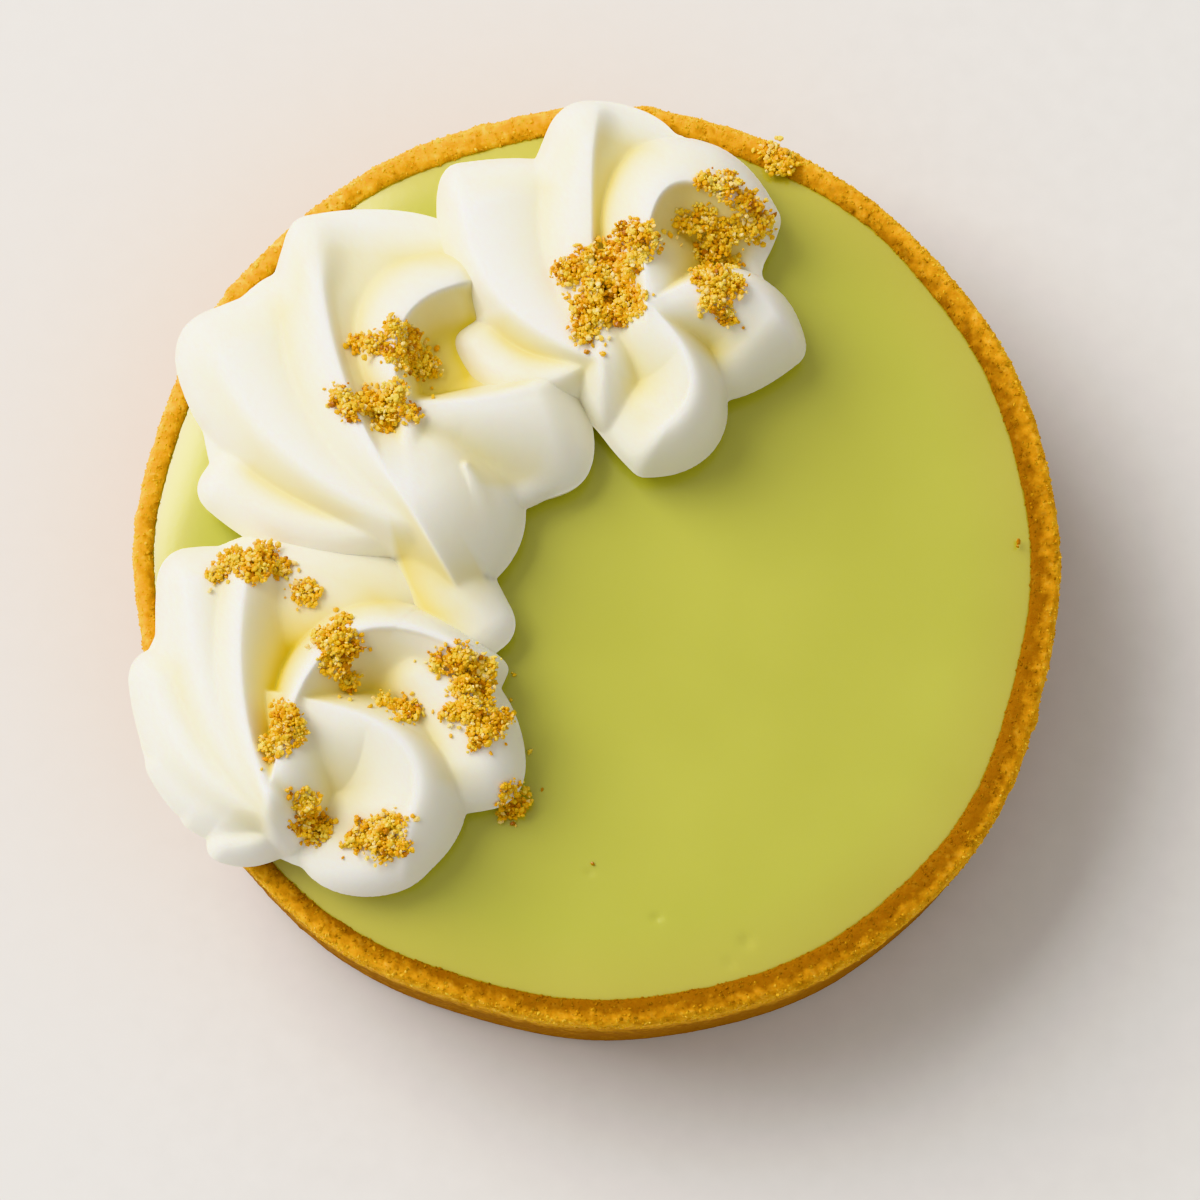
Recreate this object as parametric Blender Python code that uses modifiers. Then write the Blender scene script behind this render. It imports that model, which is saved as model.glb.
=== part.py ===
"""Key lime tart: a sandy shortcrust case filled to the brim with lime curd, three piped rosettes of
cream that follow one side of the rim, and cookie crumbs that stick to the cream, curd and rim.

The origin is the middle of the case's underside, +Z is up, and the rosettes lie towards -X and +Y.
Lengths below are in millimetres and angles in degrees; MM turns them into metres.
"""

import math
import random

import bmesh
import bpy
import numpy as np
from mathutils import Euler, Matrix, Vector
from mathutils.bvhtree import BVHTree

MM = 0.001

# Shortcrust case: a ring-baked wall, a little deeper front to back than it is wide
CASE_HALF_WIDTH = 52.0
CASE_HALF_DEPTH = 52.9
CASE_HEIGHT = 24.0
WALL = 3.1
BASE = 3.0
OPENING_SHIFT = 0.55
RIM_ROUNDING = 1.4
FOOT_ROUNDING = 0.9
WALL_WAVE = 0.22
RIM_DIP = 0.3
RIM_DIP_POWER = 6
CASE_SIDES = 68

# Bulges of the pressed wall and of its opening: bearing, half-width in degrees, reach outwards
WALL_BULGES = ((322.0, 20.0, 1.1), (252.0, 24.0, -0.6), (182.0, 12.0, 0.35))
OPENING_BULGES = ((48.0, 9.0, 0.6), (105.0, 14.0, -0.3), (178.0, 9.0, 0.3))

# Lime curd: a slab up to the brim whose surface rounds down at its edge
PLAY = 0.3
CURD_TOP = 23.9
CURD_EDGE_WIDTH = 8.0
CURD_EDGE_DROP = 1.0

# Piped cream: it stands on the curd and bulges out to its widest a little way up
CREAM_FLOOR = CURD_TOP + 0.4
CREAM_WAIST = CURD_TOP + 3.4
WAIST_TUCK = 2.2
CREST_BLEND = 0.3
CREST_STEPS = 40
CREST_END = 0.97
FOOT_LIMIT = 0.45
PETAL_CAP = 0.4
PETAL_CORNER = 2.5
CRESCENT_POWER = 1.7
TIP_THINNING = 0.5
RIGHT_TAPER = 0.45
SOFT_FOOT = 0.08
SOFT_TIP = 0.2
FACET_TURN = 0.06
ROUND_FLANK = 0.7
HOLLOW_FLANK = 1.2
FALL_OUTSIDE = 12.0
CREAM_BEARINGS = 60
CREAM_RINGS = 15
EDGE_ROUNDING = 20
ROSETTE_GAP = 0.6

# Petals of a rosette, each a crest that climbs from its foot at the rim of the rosette to its tip.
# Foot bearing and reach, tip bearing and reach (all from the heart), sideways bow of the crest,
# width of the left flank at the foot and at its widest, width of the right flank (left and right
# seen from outside), crest height over the curd at foot and tip, and hollowness of the right
# flank: 1 is round, above it the flank is hollow and the crest sharp.
ROSETTES = {
    "cream_top": {
        "heart": (5.1, 25.6),
        "petals": (
            (101, 27.0, -136, 6.5, -1.0, 4.0, 9.5, 12.0, 10.0, 11.5, 1.6),
            (27, 18.0, 61, 0.5, -11.0, 0.3, 8.5, 13.0, 9.0, 14.0, 1.6),
            (-20, 17.0, 26, 1.0, -6.0, 3.0, 3.5, 12.0, 9.0, 13.5, 1.0),
            (-104, 15.0, -14, 1.0, -6.5, 1.5, 4.5, 13.0, 8.5, 13.5, 1.3),
            (134, 27.8, -133, 7.0, -6.0, 3.5, 3.5, 16.5, 8.5, 11.0, 1.0),
            (177, 20.5, -137, 6.5, -5.0, 2.5, 3.5, 6.5, 6.5, 9.5, 1.0),
        ),
        "mounds": ((-0.5, 2.0, 14.5, 14.0, 5.5),),
    },
    "cream_middle": {
        "heart": (-23.2, 9.1),
        "petals": (
            (105, 31.0, -66, 5.5, -3.0, 0.5, 9.0, 22.5, 10.0, 13.5, 1.6),
            (58, 24.5, 72, 5.5, -6.0, 3.5, 9.0, 5.5, 8.5, 12.5, 1.5),
            (135, 27.5, -72, 7.0, -5.0, 7.0, 4.5, 16.5, 8.5, 12.0, 1.0),
            (178, 20.5, -77, 7.5, -2.5, 3.5, 4.5, 5.5, 6.0, 9.0, 1.0),
            (27, 23.5, 56, 7.5, 1.5, 2.5, 3.5, 12.0, 8.5, 11.5, 1.1),
            (76, 9.0, -60, 6.5, -0.5, 2.0, 3.0, 4.5, 11.0, 12.5, 1.0),
            (-44, 14.0, -4, 8.5, -0.5, 3.0, 3.5, 1.5, 6.5, 10.5, 1.0),
            (-58, 23.5, -64, 6.5, 0.5, 3.5, 5.0, 6.5, 4.5, 8.0, 1.0),
        ),
        "mounds": (
            (0.5, 4.0, 15.0, 15.0, 5.5),
            (-10.0, 7.5, 11.0, 16.0, 5.5),
            (12.0, 3.5, 9.0, 8.0, 7.0),
            (8.0, 1.5, 8.0, 7.5, 8.0),
        ),
    },
    "cream_bottom": {
        "heart": (-28.8, -19.7),
        "petals": (
            (155, 22.0, -125, 12.5, -3.0, 3.5, 5.0, 7.5, 8.0, 11.0, 1.0),
            (128, 26.0, -125, 12.0, -2.5, 4.0, 6.0, 8.5, 9.0, 12.0, 1.0),
            (112, 22.5, -126, 11.0, -2.5, 4.5, 6.5, 7.0, 9.5, 13.0, 1.35),
            (-177, 19.5, -125, 12.5, -1.5, 3.0, 4.5, 5.0, 6.5, 9.5, 1.0),
            (-155, 18.5, -122, 12.5, -0.5, 2.5, 3.5, 4.0, 5.5, 8.5, 1.0),
            (12, 20.5, -133, 9.0, -11.5, 1.5, 4.5, 13.0, 9.0, 13.0, 1.5),
            (-32, 17.5, 31, 11.0, -3.0, 5.0, 5.5, 11.0, 7.5, 9.0, 1.0),
            (-79, 18.0, 145, 3.5, -9.0, 1.5, 4.0, 18.5, 8.5, 12.0, 1.35),
            (-140, 18.5, -115, 11.0, -1.5, 2.0, 3.0, 5.5, 5.5, 8.0, 1.0),
        ),
        "mounds": (
            (1.0, -1.5, 15.0, 14.5, 6.0),
            (-13.0, 2.5, 9.0, 13.0, 5.5),
            (-4.0, 15.0, 13.5, 7.5, 7.5),
            (3.5, -13.5, 7.5, 5.0, 7.0),
        ),
    },
}

# Heaps of crumbs on each piece: middle X and Y, length, width, turn of the length, lumps in the heap
CRUMB_HEAPS = {
    "cream_top": (
        (4.2, 33.3, 4.5, 4.0, 0, 3),
        (1.2, 30.3, 6.5, 6.0, 40, 7),
        (-0.8, 24.8, 5.5, 3.5, 95, 4),
        (2.7, 26.3, 4.5, 3.5, 0, 3),
        (-3.8, 29.3, 3.0, 2.5, 60, 1),
        (12.7, 35.3, 8.0, 5.5, -25, 6),
        (13.2, 39.8, 4.0, 3.0, 20, 2),
        (17.2, 37.3, 4.5, 3.5, -30, 3),
        (13.2, 27.8, 6.5, 5.0, 100, 5),
    ),
    "cream_middle": (
        (-20.8, 21.3, 6.5, 4.5, -60, 5),
        (-25.3, 21.8, 4.0, 1.8, 0, 2),
        (-23.8, 14.8, 8.0, 4.5, 5, 6),
        (-28.8, 15.8, 2.2, 1.5, 0, 1),
    ),
    "cream_bottom": (
        (-38.3, -2.2, 8.5, 3.8, 15, 6),
        (-32.8, -5.2, 2.5, 2.0, 0, 1),
        (-28.3, -12.2, 7.5, 4.5, 105, 6),
        (-33.8, -21.2, 7.0, 3.0, 75, 4),
        (-21.8, -18.2, 5.0, 2.0, -15, 2),
        (-14.3, -14.2, 7.5, 5.5, -25, 6),
        (-12.8, -19.7, 7.5, 4.5, -20, 5),
        (-31.3, -30.2, 5.0, 3.0, -50, 3),
        (-23.8, -32.2, 6.5, 4.5, 0, 6),
    ),
    "curd": ((-9.3, -27.9, 3.0, 2.2, 70, 2),),
    "crust": ((20.5, 46.2, 4.2, 1.8, -23, 3),),
}
LARGEST_LUMP = 1.45
SMALLEST_LUMP = 0.85
LUMP_SEGMENTS = 5
LUMP_RINGS = 4
LUMP_LIFT = 0.2
GOLDEN_ANGLE = math.pi * (3.0 - math.sqrt(5.0))

# Colours of the sub-parts
CRUST_COLOUR = (0.48, 0.21, 0.035, 1.0)
CURD_COLOUR = (0.54, 0.52, 0.09, 1.0)
CREAM_COLOUR = (0.93, 0.90, 0.80, 1.0)


def clear_scene():
    """Remove every object, so that the script starts from nothing."""
    for thing in list(bpy.data.objects):
        bpy.data.objects.remove(thing, do_unlink=True)


def new_collection(name):
    """Make a collection in the scene."""
    collection = bpy.data.collections.new(name)
    bpy.context.scene.collection.children.link(collection)
    return collection


def new_material(name, colour, roughness):
    """Make a Principled material of one colour."""
    material = bpy.data.materials.new(name)
    material.use_nodes = True
    shader = material.node_tree.nodes["Principled BSDF"]
    shader.inputs["Base Color"].default_value = colour
    shader.inputs["Roughness"].default_value = roughness
    shader.inputs["Metallic"].default_value = 0.0
    return material


def new_object(name, mesh, material, collection):
    """Put a smooth-shaded mesh into a collection as a named object."""
    mesh.name = name
    mesh.materials.clear()
    mesh.materials.append(material)
    mesh.shade_smooth()
    thing = bpy.data.objects.new(name, mesh)
    collection.objects.link(thing)
    return thing


def arc(middle_x, middle_z, radius_x, radius_z, start, end, steps):
    """Points on a quarter or part of an ellipse in the XZ plane, from one angle to another."""
    angles = [math.radians(start + (end - start) * step / steps) for step in range(steps + 1)]
    return [(middle_x + radius_x * math.cos(a), middle_z + radius_z * math.sin(a)) for a in angles]


def turned_mesh(profile):
    """Turn a profile in the XZ plane once round the Z axis with a Screw modifier."""
    outline = bpy.data.meshes.new("profile")
    points = [(x * MM, 0.0, z * MM) for x, z in profile]
    outline.from_pydata(points, [(i, i + 1) for i in range(len(points) - 1)], [])
    holder = bpy.data.objects.new("profile", outline)
    bpy.context.scene.collection.objects.link(holder)
    screw = holder.modifiers.new("turn", "SCREW")
    screw.steps = CASE_SIDES
    screw.render_steps = CASE_SIDES
    screw.use_merge_vertices = True
    screw.merge_threshold = 0.00002
    mesh = bpy.data.meshes.new_from_object(holder.evaluated_get(bpy.context.evaluated_depsgraph_get()))
    bpy.data.objects.remove(holder, do_unlink=True)
    return mesh


def bulge(bearing, bulges):
    """Reach outwards on a bearing: the sum of a bell for each bulge."""
    total = 0.0
    for middle, half_width, reach in bulges:
        away = math.degrees(math.remainder(bearing - math.radians(middle), math.tau))
        total += reach * math.exp(-((away / half_width) ** 2))
    return total


def shape_by_hand(mesh, opening_share):
    """Make a round turned mesh as uneven as hand-pressed pastry.

    The circle becomes the case's oval, its radius swells and shrinks in two slow waves and a few
    bulges, the rim dips in a third wave, and what lies inside the wall shifts towards -X so that
    the wall is thicker at +X. opening_share(radius, z) is 1 where a point follows the opening and
    0 on the outside.
    """
    for vertex in mesh.vertices:
        x, y, z = (c / MM for c in vertex.co)
        radius = math.hypot(x, y)
        bearing = math.atan2(y, x)
        wave = math.sin(5 * bearing + 0.6) + 0.6 * math.sin(12 * bearing + 2.0)
        share = opening_share(radius, z)
        reach = WALL_WAVE * wave + bulge(bearing, WALL_BULGES) + share * bulge(bearing, OPENING_BULGES)
        swell = 1.0 + reach / CASE_HALF_WIDTH
        dip = RIM_DIP * (0.5 + 0.5 * math.sin(7 * bearing + 1.0)) * max(0.0, (z - 20.0) / 4.0)
        dip *= (radius / CASE_HALF_WIDTH) ** RIM_DIP_POWER
        new_x = x * swell - OPENING_SHIFT * share * min(1.0, radius / 40.0)
        new_y = y * swell * CASE_HALF_DEPTH / CASE_HALF_WIDTH
        vertex.co = Vector((new_x, new_y, z - dip)) * MM


def crust_mesh():
    """Turn the case: inner floor, inner wall, rounded rim, outer wall and underside."""
    outer = CASE_HALF_WIDTH
    inner = outer - WALL
    rim_z = CASE_HEIGHT - RIM_ROUNDING
    inner_rim = WALL - RIM_ROUNDING
    profile = [(0.0, BASE), (inner * 0.5, BASE), (inner, BASE)]
    profile += arc(inner + inner_rim, rim_z, inner_rim, RIM_ROUNDING, 180, 90, 3)
    profile += arc(outer - RIM_ROUNDING, rim_z, RIM_ROUNDING, RIM_ROUNDING, 90, 0, 3)[1:]
    profile += arc(outer - FOOT_ROUNDING, FOOT_ROUNDING, FOOT_ROUNDING, FOOT_ROUNDING, 0, -90, 2)
    profile += [(outer * 0.5, 0.0), (0.0, 0.0)]
    mesh = turned_mesh(profile)
    shape_by_hand(mesh, lambda radius, z: min(1.0, (outer - radius) / WALL) if z > BASE / 2 else 0.0)
    return mesh


def curd_mesh():
    """Turn the curd: a flat top that rounds down near its edge, and a flat underside."""
    edge = CASE_HALF_WIDTH - WALL - PLAY
    profile = [(0.0, CURD_TOP), (edge * 0.5, CURD_TOP)]
    profile += arc(edge - CURD_EDGE_WIDTH, CURD_TOP - CURD_EDGE_DROP, CURD_EDGE_WIDTH, CURD_EDGE_DROP, 90, 0, 4)
    profile += [(edge, BASE + PLAY), (edge * 0.5, BASE + PLAY), (0.0, BASE + PLAY)]
    mesh = turned_mesh(profile)
    shape_by_hand(mesh, lambda radius, z: 1.0)
    return mesh


def petal_height(x, y, heart, petal):
    """Height of one petal over the cream's waist at every place (x, y).

    The crest is a parabola from foot to tip, bowed sideways. Round each of its points stands a
    bell, wide across the crest, and the petal is the envelope of all the bells. The left flank is
    a crescent, widest beyond the middle, and the right flank tapers towards the tip. A hollow
    right flank rises to a sharp crest, except at the very foot and tip. Outside the bells the
    height falls away below zero.
    """
    foot_bearing, foot_reach, tip_bearing, tip_reach, bow = petal[:5]
    left_at_foot, left, right, foot_top, tip_top, hollow = petal[5:]
    foot = np.array(heart) + foot_reach * unit(foot_bearing)
    run = np.array(heart) + tip_reach * unit(tip_bearing) - foot
    length = math.hypot(run[0], run[1])
    sideways = np.array((-run[1], run[0])) / length
    cap = PETAL_CAP * (left + right)
    t = np.linspace(min(FOOT_LIMIT, cap / math.hypot(length, 2 * bow)), CREST_END, CREST_STEPS)
    crest = foot + np.outer(t, run) + np.outer(4 * bow * t * (1 - t), sideways)
    inward = run + np.outer(4 * bow * (1 - 2 * t), sideways)
    inward /= np.linalg.norm(inward, axis=1)[:, None]
    right_width = right * (1 - RIGHT_TAPER * t**1.5)
    crescent = np.sin(math.pi * t**CRESCENT_POWER)
    left_width = (left_at_foot + (left - left_at_foot) * crescent) * (1 - TIP_THINNING * t**4)
    hollowness = (hollow - 1) * np.clip(t / SOFT_FOOT, 0, 1) * np.clip((1 - t) / SOFT_TIP, 0, 1)
    top = foot_top + (tip_top - foot_top) * np.sin(math.pi / 2 * t) - (CREAM_WAIST - CURD_TOP)
    away_x = x[..., None] - crest[:, 0]
    away_y = y[..., None] - crest[:, 1]
    across = away_y * inward[:, 0] - away_x * inward[:, 1]
    along = away_x * inward[:, 0] + away_y * inward[:, 1]
    across = across / np.where(across > 0, right_width, left_width)
    corner = np.abs(across) ** PETAL_CORNER + np.abs(along / cap) ** PETAL_CORNER
    distance2 = corner ** (2 / PETAL_CORNER)
    beside = across**2 / (across**2 + FACET_TURN * (along / cap) ** 2 + 1e-9)
    facet = np.where(across > 0, beside, 0.0) * hollowness
    bell = np.maximum(1 - distance2 ** (1 - facet), 0) ** (ROUND_FLANK + HOLLOW_FLANK * facet)
    return np.where(distance2 < 1, top * bell, FALL_OUTSIDE * (1 - np.sqrt(distance2))).max(axis=-1)


def mound_height(x, y, heart, mound):
    """Height over the waist of the low mound of cream under the petals."""
    middle_x, middle_y, half_width, half_depth, top = mound
    distance = np.hypot((x - heart[0] - middle_x) / half_width, (y - heart[1] - middle_y) / half_depth)
    dome = (top - (CREAM_WAIST - CURD_TOP)) * np.sqrt(np.maximum(1 - distance**2, 0))
    return np.where(distance < 1, dome, FALL_OUTSIDE * (1 - distance))


def cream_height(x, y, rosette):
    """Height of a rosette over its waist: the soft maximum of its petals and mounds."""
    layers = [petal_height(x, y, rosette["heart"], petal) for petal in rosette["petals"]]
    layers += [mound_height(x, y, rosette["heart"], mound) for mound in rosette["mounds"]]
    layers = np.stack(layers)
    highest = layers.max(axis=0)
    total = np.exp((layers - highest) / CREST_BLEND).sum(axis=0)
    return highest + CREST_BLEND * (np.log(total) - 0.3)


def unit(bearing):
    """Unit vector on a bearing in degrees, anticlockwise from +X."""
    return np.array((math.cos(math.radians(bearing)), math.sin(math.radians(bearing))))


def outline(rosette, bearings):
    """Reach of a rosette's waist from its heart on each bearing, in radians.

    It is the furthest place on the bearing where the cream stands above its waist.
    """
    reaches = np.linspace(6.0, 34.0, 281)
    x = rosette["heart"][0] + np.outer(np.cos(bearings), reaches)
    y = rosette["heart"][1] + np.outer(np.sin(bearings), reaches)
    height = cream_height(x, y, rosette)
    last = height.shape[1] - 1 - np.argmax(height[:, ::-1] > 0, axis=1)
    rows = np.arange(len(bearings))
    after = np.minimum(last + 1, height.shape[1] - 1)
    fraction = height[rows, last] / np.maximum(height[rows, last] - height[rows, after], 1e-6)
    return reaches[last] + (reaches[1] - reaches[0]) * np.clip(fraction, 0, 1)


def heart_ring(rosette, bearings, radius, z):
    """Ring of points round a rosette's heart."""
    x = rosette["heart"][0] + radius * np.cos(bearings)
    y = rosette["heart"][1] + radius * np.sin(bearings)
    return np.stack((x, y, np.broadcast_to(z, x.shape)), axis=1)


def cream_mesh(rosette):
    """Loft a rosette from rings: over the petals out to the waist, and tucked in below it."""
    bearings = np.linspace(-math.pi, math.pi, CREAM_BEARINGS, endpoint=False)
    reach = outline(rosette, bearings)
    rings = []
    for step in range(1, CREAM_RINGS + 1):
        share = math.sin(math.pi / 2 * step / CREAM_RINGS)
        ring = heart_ring(rosette, bearings, share * reach, CREAM_WAIST)
        rounding = math.sqrt(max(0.0, 1 - share**EDGE_ROUNDING))
        ring[:, 2] += np.maximum(cream_height(ring[:, 0], ring[:, 1], rosette), 0) * rounding
        rings.append(ring)
    for angle in (30, 60, 90):
        tuck = WAIST_TUCK * (1 - math.cos(math.radians(angle)))
        drop = (CREAM_WAIST - CREAM_FLOOR) * math.sin(math.radians(angle))
        rings.append(heart_ring(rosette, bearings, reach - tuck, CREAM_WAIST - drop))
    heart = rosette["heart"]
    middle = np.array([heart])
    peak_z = CREAM_WAIST + float(cream_height(middle[:, 0], middle[:, 1], rosette)[0])
    return lofted_mesh((*heart, peak_z), rings, (*heart, CREAM_FLOOR))


def cut_clear(thing, rosette, cutters):
    """Cut a piece back to the gap round a rosette that is pressed against it."""
    bearings = np.linspace(-math.pi, math.pi, CREAM_BEARINGS, endpoint=False)
    reach = outline(rosette, bearings) + ROSETTE_GAP
    low, high = CREAM_FLOOR - 2.0, CREAM_WAIST + 20.0
    rings = [heart_ring(rosette, bearings, reach, high), heart_ring(rosette, bearings, reach, low)]
    heart = rosette["heart"]
    cutter = bpy.data.objects.new("room for a rosette", lofted_mesh((*heart, high), rings, (*heart, low)))
    cutter.hide_render = True
    cutter.display_type = "WIRE"
    cutters.objects.link(cutter)
    cut = thing.modifiers.new("room", "BOOLEAN")
    cut.operation = "DIFFERENCE"
    cut.object = cutter
    apply_modifiers(thing)
    bpy.data.objects.remove(cutter, do_unlink=True)
    drop_scraps(thing)


def apply_modifiers(thing):
    """Give a piece the mesh that its modifiers make, and take the modifiers off."""
    made = bpy.data.meshes.new_from_object(thing.evaluated_get(bpy.context.evaluated_depsgraph_get()))
    thing.modifiers.clear()
    made.name = thing.name
    thing.data = made


def drop_scraps(thing):
    """Keep only the largest of a piece's separate bodies."""
    shell = bmesh.new()
    shell.from_mesh(thing.data)
    unseen = set(shell.verts)
    bodies = []
    while unseen:
        body = [unseen.pop()]
        for vert in body:
            for edge in vert.link_edges:
                other = edge.other_vert(vert)
                if other in unseen:
                    unseen.remove(other)
                    body.append(other)
        bodies.append(body)
    bodies.sort(key=len)
    scraps = [vert for body in bodies[:-1] for vert in body]
    bmesh.ops.delete(shell, geom=scraps, context="VERTS")
    shell.to_mesh(thing.data)
    shell.free()


def lofted_mesh(first_pole, rings, last_pole):
    """Join equal rings of points into one closed skin that ends in a fan at each pole.

    Each four-sided cell is split along its shorter diagonal, so that the triangles follow the folds.
    """
    count = len(rings[0])
    points = np.vstack([first_pole] + rings + [last_pole]) * MM
    faces = [(0, 1 + i, 1 + (i + 1) % count) for i in range(count)]
    for level in range(len(rings) - 1):
        upper = 1 + level * count
        lower = upper + count
        for i in range(count):
            following = (i + 1) % count
            a, b, c, d = upper + i, lower + i, lower + following, upper + following
            if math.dist(points[a], points[c]) < math.dist(points[b], points[d]):
                faces += [(a, b, c), (a, c, d)]
            else:
                faces += [(a, b, d), (b, c, d)]
    final = 1 + (len(rings) - 1) * count
    faces += [(final + i, len(points) - 1, final + (i + 1) % count) for i in range(count)]
    mesh = bpy.data.meshes.new("loft")
    mesh.from_pydata(points.tolist(), [], faces)
    return mesh


def lump_places(heaps, seed):
    """Place the lumps of each heap on a sunflower spiral in its ellipse, largest first."""
    draw = random.Random(seed)
    for middle_x, middle_y, length, width, turn, lumps in heaps:
        for number in range(lumps):
            share = math.sqrt((number + 0.35) / lumps)
            angle = number * GOLDEN_ANGLE
            place = Vector((share * length / 2 * math.cos(angle), share * width / 2 * math.sin(angle), 0))
            place.rotate(Euler((0, 0, math.radians(turn))))
            size = LARGEST_LUMP - (LARGEST_LUMP - SMALLEST_LUMP) * number / max(lumps - 1, 1)
            yield middle_x + place.x, middle_y + place.y, min(size, 0.6 * width), draw


def lump_mesh(radius, draw):
    """One angular lump: a sphere of few sides, flattened and turned at random."""
    shell = bmesh.new()
    bmesh.ops.create_uvsphere(shell, u_segments=LUMP_SEGMENTS, v_segments=LUMP_RINGS, radius=radius * MM)
    squash = Matrix.Diagonal((1.0, draw.uniform(0.75, 0.95), draw.uniform(0.7, 0.9), 1.0))
    turn = Euler([draw.uniform(0, math.tau) for _ in range(3)]).to_matrix().to_4x4()
    bmesh.ops.transform(shell, matrix=turn @ squash, verts=shell.verts)
    mesh = bpy.data.meshes.new("lump")
    shell.to_mesh(mesh)
    shell.free()
    return mesh


def surface_tree(thing):
    """Search tree of a piece's surface."""
    return BVHTree.FromObject(thing, bpy.context.evaluated_depsgraph_get())


def fuse_crumbs(thing, heaps, seed, neighbours):
    """Set lumps into a piece's surface and join them to it in one Boolean union.

    A lump that would come closer to a neighbouring piece than the play is left out.
    """
    ground = surface_tree(thing)
    others = [surface_tree(other) for other in neighbours]
    lumps = new_collection("lumps on " + thing.name)
    for x, y, radius, draw in lump_places(heaps, seed):
        hit, normal, _, _ = ground.ray_cast(Vector((x * MM, y * MM, 1.0)), Vector((0, 0, -1)))
        place = hit + normal * LUMP_LIFT * radius * MM
        if any(other.find_nearest(place)[3] < (radius + PLAY) * MM for other in others):
            continue
        lump = bpy.data.objects.new("lump", lump_mesh(radius, draw))
        lump.location = place
        lumps.objects.link(lump)
    union = thing.modifiers.new("crumbs", "BOOLEAN")
    union.operation = "UNION"
    union.operand_type = "COLLECTION"
    union.collection = lumps
    union.solver = "MANIFOLD"
    apply_modifiers(thing)
    drop_scraps(thing)
    for lump in list(lumps.objects):
        bpy.data.objects.remove(lump, do_unlink=True)
    bpy.data.collections.remove(lumps)


def build_tart():
    """Make every sub-part of the tart."""
    clear_scene()
    tart = new_collection("key lime tart")
    shortcrust = new_material("shortcrust", CRUST_COLOUR, 0.9)
    lime_curd = new_material("lime_curd", CURD_COLOUR, 0.35)
    whipped_cream = new_material("whipped_cream", CREAM_COLOUR, 0.6)
    pieces = {
        "crust": new_object("crust", crust_mesh(), shortcrust, tart),
        "curd": new_object("curd", curd_mesh(), lime_curd, tart),
    }
    for name, rosette in ROSETTES.items():
        pieces[name] = new_object(name, cream_mesh(rosette), whipped_cream, tart)
    cutters = new_collection("cutters")
    for name in ("cream_top", "cream_bottom"):
        cut_clear(pieces["cream_middle"], ROSETTES[name], cutters)
    for seed, (name, heaps) in enumerate(CRUMB_HEAPS.items()):
        others = [piece for other, piece in pieces.items() if other != name]
        fuse_crumbs(pieces[name], heaps, seed, others)


build_tart()
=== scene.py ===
"""Looks of the key lime tart: a sandy pastry case, set lime curd, three piped rosettes of cream and
cookie crumbs, on a pale floor in soft daylight from the left.

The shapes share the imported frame: the origin is the middle of the underside and +Z is up. Lengths
are in millimetres and angles in degrees until they go into a mesh, where MM makes them metres.
"""

import math

import bpy
import numpy as np
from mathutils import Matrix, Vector


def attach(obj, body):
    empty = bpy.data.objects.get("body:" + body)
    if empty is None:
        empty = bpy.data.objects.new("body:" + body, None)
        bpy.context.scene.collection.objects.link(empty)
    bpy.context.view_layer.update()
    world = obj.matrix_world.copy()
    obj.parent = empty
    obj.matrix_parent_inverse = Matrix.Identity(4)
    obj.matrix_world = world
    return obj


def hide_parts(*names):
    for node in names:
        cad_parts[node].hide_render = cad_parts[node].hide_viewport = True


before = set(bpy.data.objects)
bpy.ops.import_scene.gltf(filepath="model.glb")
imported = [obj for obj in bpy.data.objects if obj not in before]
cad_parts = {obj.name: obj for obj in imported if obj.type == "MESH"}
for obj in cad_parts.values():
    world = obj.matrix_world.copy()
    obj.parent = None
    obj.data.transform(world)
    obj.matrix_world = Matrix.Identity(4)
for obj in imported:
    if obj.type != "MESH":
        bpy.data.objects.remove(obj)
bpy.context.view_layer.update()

MM = 0.001

# Pastry case: an upright wall on a floor. The opening lies a little towards -X, in full from one
# radius outwards, the wall waves, and the rim dips in places, most of all at its outer edge.
CASE_HALF_WIDTH = 52.0
CASE_HALF_DEPTH = 52.9
CASE_HEIGHT = 24.0
WALL = 3.25
BASE = 3.0
OPENING_SHIFT = 0.55
SHIFT_RADIUS = 40.0
RIM_ROUNDING = 1.4
RIM_EDGE = 0.8
RIM_RISE = 0.8
FOOT_ROUNDING = 0.9
WALL_WAVE = 0.22
RIM_DIP = 0.3
RIM_DIP_DEPTH = 4.0
RIM_DIP_POWER = 6

# Bulges of the pressed wall and of its opening: bearing, half-width in degrees, reach outwards
WALL_BULGES = ((322.0, 20.0, 1.1), (252.0, 24.0, -0.6), (182.0, 12.0, 0.35))
OPENING_BULGES = ((48.0, 9.0, 0.6), (105.0, 14.0, -0.3), (178.0, 9.0, 0.3))

# Grid of the case: its columns, the strip of floor beside the wall, the strip of inner wall under
# the rim's rounding, and the rings of the underside, as distances from the outer wall
CASE_COLUMNS = 1280
FLOOR_STRIP = 6.0
UPPER_WALL = 2.0
UNDERSIDE_RINGS = (4.0, 12.0)

# Cubes of random values along each axis, after which a noise repeats
NOISE_CUBES = 32
KERNEL_CUBES = 24

# Relief of the pastry: the size of its grains, lumps, swells and nubs, and how far they stand out.
# Nubs are rare: a kernel is one when its random number is over the threshold, and only its tip
# shows. They grow between two heights near the rim.
GRAIN_SIZE = 0.55
GRAIN_RELIEF = 0.18
MEAN_GRAIN = 0.75
LUMP_SIZE = 1.5
LUMP_RELIEF = 0.09
SWELL_SIZE = 6.5
SWELL_RELIEF = 0.12
NUB_SIZE = 2.6
NUB_RELIEF = 0.4
NUB_THRESHOLD = 0.86
NUB_TIP = 0.4
NUB_WIDTH = 1.6
NUBS_FROM = 19.0
NUBS_FULL = 23.0

# Smooth pastry: the foot, over which the relief grows, and the inner wall that the curd hides, up to
# this far under the rim's rounding
SMOOTH_FOOT = 0.6
RELIEF_GROWTH = 1.5
SMOOTH_INSIDE = 2.5

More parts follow.
